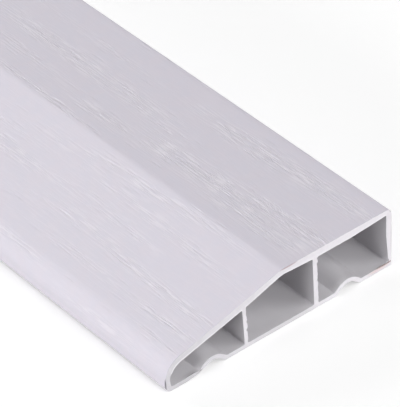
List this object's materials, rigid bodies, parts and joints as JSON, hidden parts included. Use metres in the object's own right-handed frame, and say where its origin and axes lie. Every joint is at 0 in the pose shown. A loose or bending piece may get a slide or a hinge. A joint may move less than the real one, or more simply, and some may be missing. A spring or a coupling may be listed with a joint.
{
  "type": "door architrave",
  "caption": "Hollow extruded plastic door architrave with a flat face that slopes down to a rounded nose, divided inside by upright webs, with shallow arched grooves in its back.",
  "frame": {"origin": "middle of the box's underside, so the back lies on the plane z = 0, halfway along the length", "axes": "+Y along the length, +X across the width from the rounded nose to the thick edge, +Z out of the face"},
  "size_m": [0.07, 2.2, 0.0175],
  "materials": {
    "white_plastic": "satin white, with an embossed wood grain on the face, the nose and the thick edge"
  },
  "bodies": {
    "root": {"architrave_profile": "white_plastic"}
  },
  "joints": []
}
